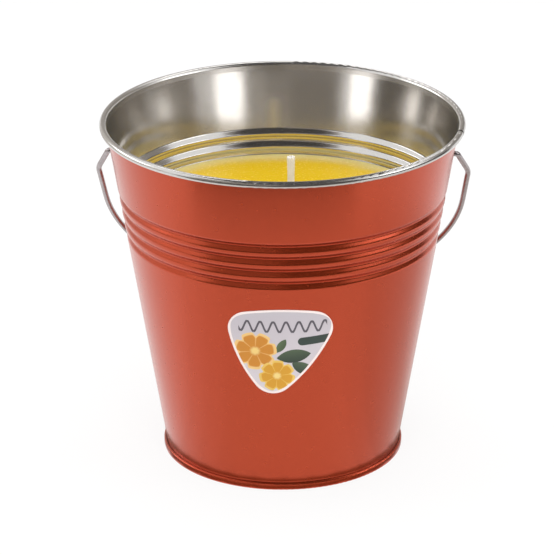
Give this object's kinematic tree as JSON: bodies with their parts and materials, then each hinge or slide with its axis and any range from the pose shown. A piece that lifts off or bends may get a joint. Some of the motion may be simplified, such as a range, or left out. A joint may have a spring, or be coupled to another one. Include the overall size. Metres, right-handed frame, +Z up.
{
  "type": "citronella candle bucket",
  "caption": "Tapered tinplate bucket with rolled rim, grooved band and wire bail, filled with yellow candle wax around a cotton wick.",
  "frame": {"origin": "centre of the foot ring, on the surface the bucket stands on", "axes": "+Z up along the bucket's axis, +X along the bail's hinge line, and the label faces -Y"},
  "size_m": [0.1612, 0.156, 0.15],
  "materials": {
    "lacquered_tinplate": "red-orange lacquer outside, bare bright tin inside and on the rolled rim",
    "steel_wire": "drawn and zinc plated, satin",
    "candle_wax": "poured candle wax, soft satin",
    "waxed_cotton": "braided cotton stiffened with wax",
    "tin_tab": "stamped tin",
    "printed_paper": "coated paper sticker with a printed design"
  },
  "bodies": {
    "bucket": {"bucket_wall": "lacquered_tinplate", "bucket_bottom": "lacquered_tinplate", "wax_fill": "candle_wax", "wick": "waxed_cotton", "wick_tab": "tin_tab", "front_label": "printed_paper"},
    "bail": {"bail_handle": "steel_wire"}
  },
  "joints": [
    {"name": "bail_swing", "type": "hinge", "parent": "bucket", "child": "bail", "pos_m": [0, 0, 0.135], "axis": [1, 0, 0], "range_deg": [0, 290]}
  ]
}
